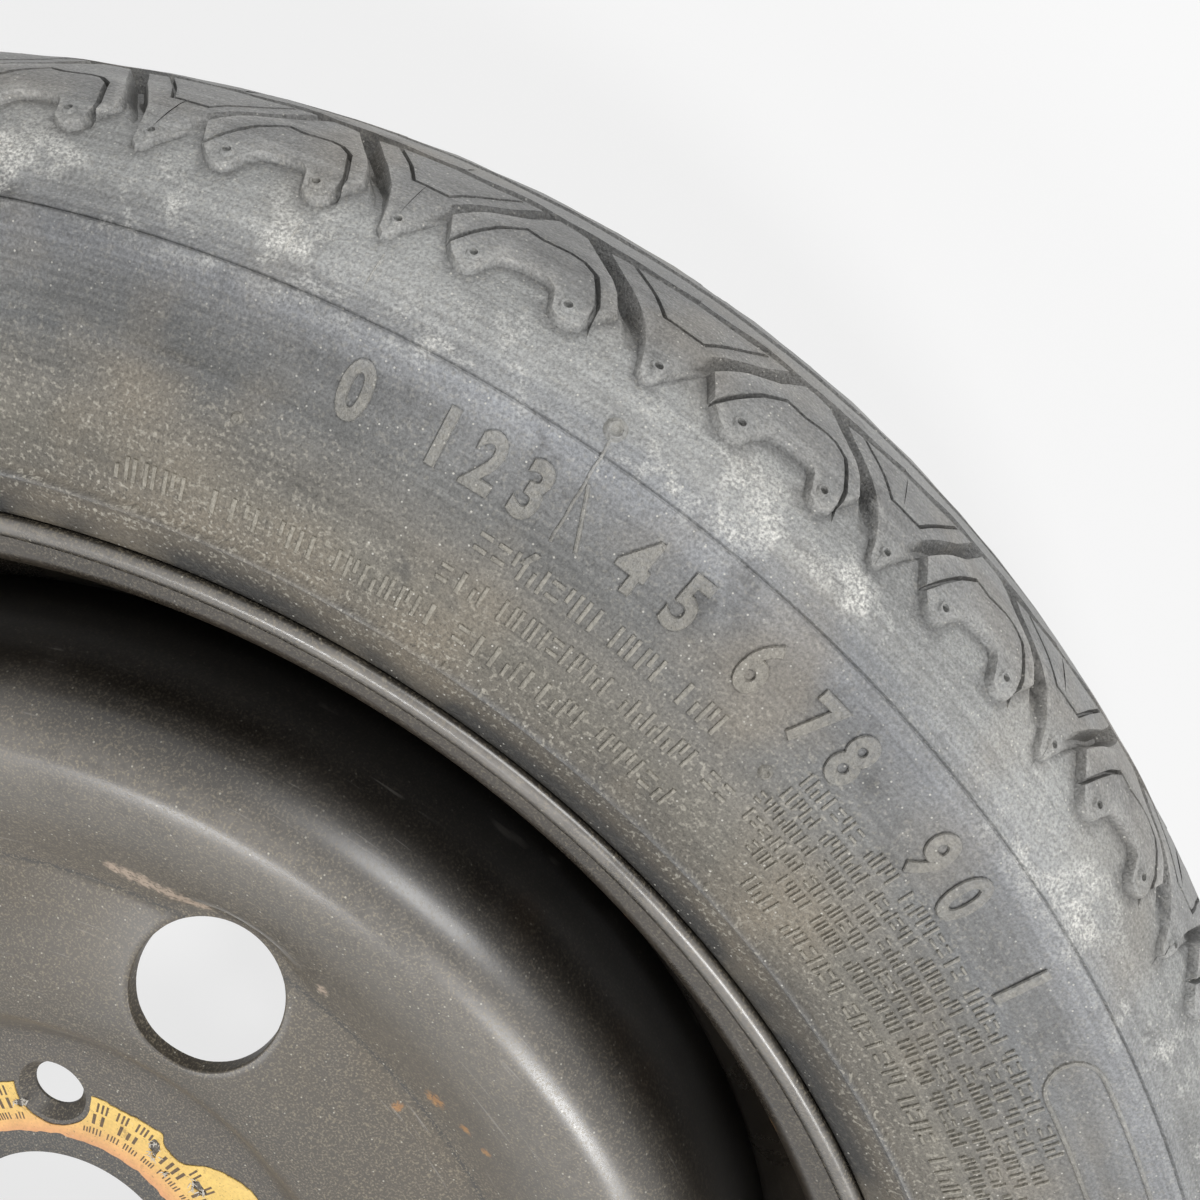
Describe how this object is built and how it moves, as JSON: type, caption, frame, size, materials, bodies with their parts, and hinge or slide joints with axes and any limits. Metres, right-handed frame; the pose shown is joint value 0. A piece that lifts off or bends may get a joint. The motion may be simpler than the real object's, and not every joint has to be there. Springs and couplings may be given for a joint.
{
  "type": "space saver spare wheel",
  "caption": "Narrow temporary spare wheel: tubeless tyre on a pressed steel rim and vented disc, with a snap-in valve.",
  "frame": {"origin": "on the wheel's axis, in the flat face of the disc that rests on the hub", "axes": "+Z along the wheel's axis towards its outer side, which looks up; the valve is towards -Y and a vent hole towards +Y"},
  "size_m": [0.636, 0.636, 0.1322],
  "materials": {
    "tyre_rubber": "matte",
    "rim_paint": "gloss",
    "disc_paint": "satin",
    "label_paper": "satin",
    "valve_rubber": "matte",
    "brass": "satin",
    "seal": "matte",
    "spring_steel": "satin",
    "cap_plastic": "satin"
  },
  "bodies": {
    "wheel": {"tyre": "tyre_rubber", "rim": "rim_paint", "disc": "disc_paint", "disc_welds": "rim_paint", "label": "label_paper", "valve_body": "valve_rubber", "valve_stem": "brass", "core_barrel": "brass", "core_seal": "seal", "core_spring": "spring_steel"},
    "cap": {"valve_cap": "cap_plastic", "cap_gasket": "seal"},
    "pin": {"core_pin": "brass", "core_cup": "seal"}
  },
  "joints": [
    {"name": "cap_pull", "type": "slide", "parent": "wheel", "child": "cap", "axis": [0, 0.4472, 0.8944], "range_m": [0, 0.012]},
    {"name": "pin_press", "type": "slide", "parent": "wheel", "child": "pin", "axis": [0, -0.4472, -0.8944], "range_m": [0, 0.0012], "stiffness_N_per_m": 200, "deforming": ["core_spring"]}
  ]
}
